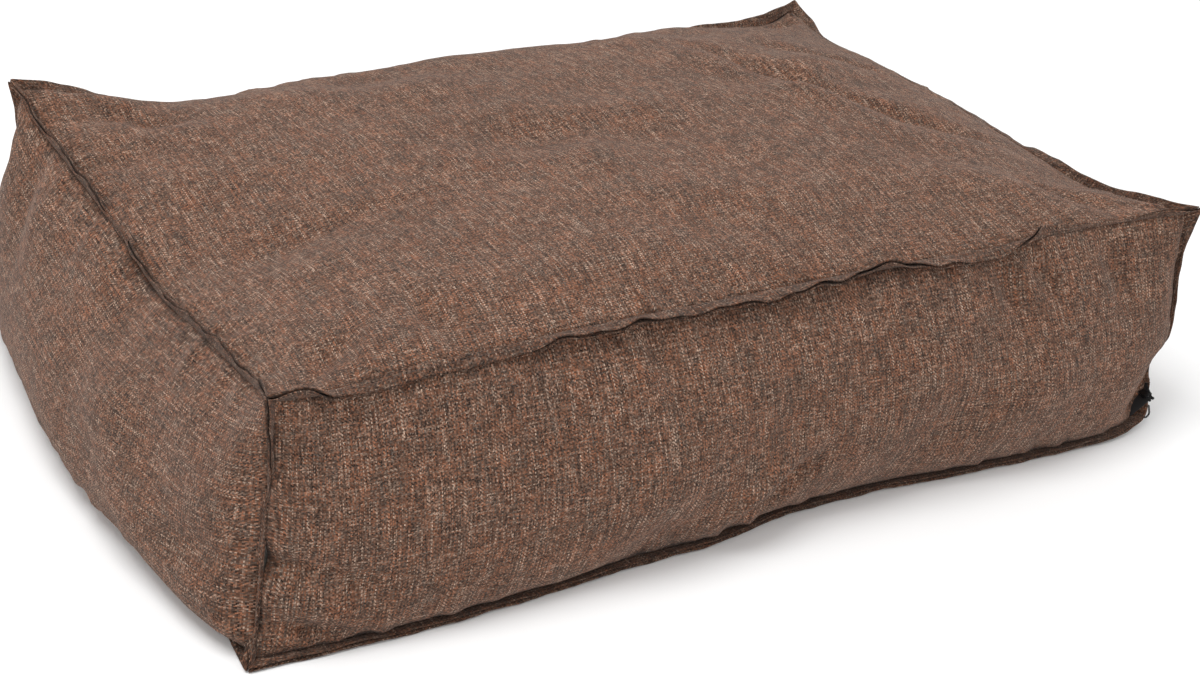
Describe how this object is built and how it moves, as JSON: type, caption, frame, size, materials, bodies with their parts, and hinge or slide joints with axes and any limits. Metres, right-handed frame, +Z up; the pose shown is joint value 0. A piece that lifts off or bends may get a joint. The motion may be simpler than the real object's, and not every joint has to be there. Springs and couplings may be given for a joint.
{
  "type": "pet cushion bed",
  "caption": "Boxy, loosely filled rectangular pet cushion bed with flanged seams, pointed corner ears and a zipped removable cover over an inner cushion.",
  "frame": {"origin": "middle of the footprint at floor level", "axes": "+X along the long side towards the zipped short side, +Y to the back, +Z up"},
  "size_m": [1.0822, 0.749, 0.262],
  "materials": {
    "cover": "matt woven melange",
    "thread": "matt spun thread",
    "inner_case": "plain non-woven lining",
    "filling": "loose fibre",
    "zip_tape": "matt woven tape",
    "zip_coil": "satin moulded coil",
    "zip_metal": "black enamel, semi-gloss"
  },
  "bodies": {
    "root": {"top_panel": "cover", "bottom_panel": "cover", "front_panel": "cover", "back_panel": "cover", "left_panel": "cover", "right_panel": "cover", "flange_top_front": "cover", "flange_top_back": "cover", "flange_top_left": "cover", "flange_top_right": "cover", "flange_corner_front_left": "cover", "flange_corner_front_right": "cover", "flange_corner_back_left": "cover", "flange_corner_back_right": "cover", "flange_bottom_front": "cover", "flange_bottom_back": "cover", "flange_bottom_left": "cover", "topstitching": "thread", "inner_case_top": "inner_case", "inner_case_bottom": "inner_case", "filling": "filling", "zip_tape_upper": "zip_tape", "zip_tape_lower": "zip_tape", "zip_coil_upper": "zip_coil", "zip_coil_lower": "zip_coil", "zip_stops": "zip_metal"},
    "slider": {"zip_slider": "zip_metal"},
    "pull": {"zip_pull": "zip_metal"}
  },
  "joints": [
    {"name": "slider_slide", "type": "slide", "parent": "root", "child": "slider", "axis": [0, 1, 0], "range_m": [0, 0.64]},
    {"name": "pull_swing", "type": "hinge", "parent": "slider", "child": "pull", "pos_m": [0.4768, -0.332, 0.02779], "axis": [0.9397, 0, 0.342], "range_deg": [-60, 85]}
  ]
}
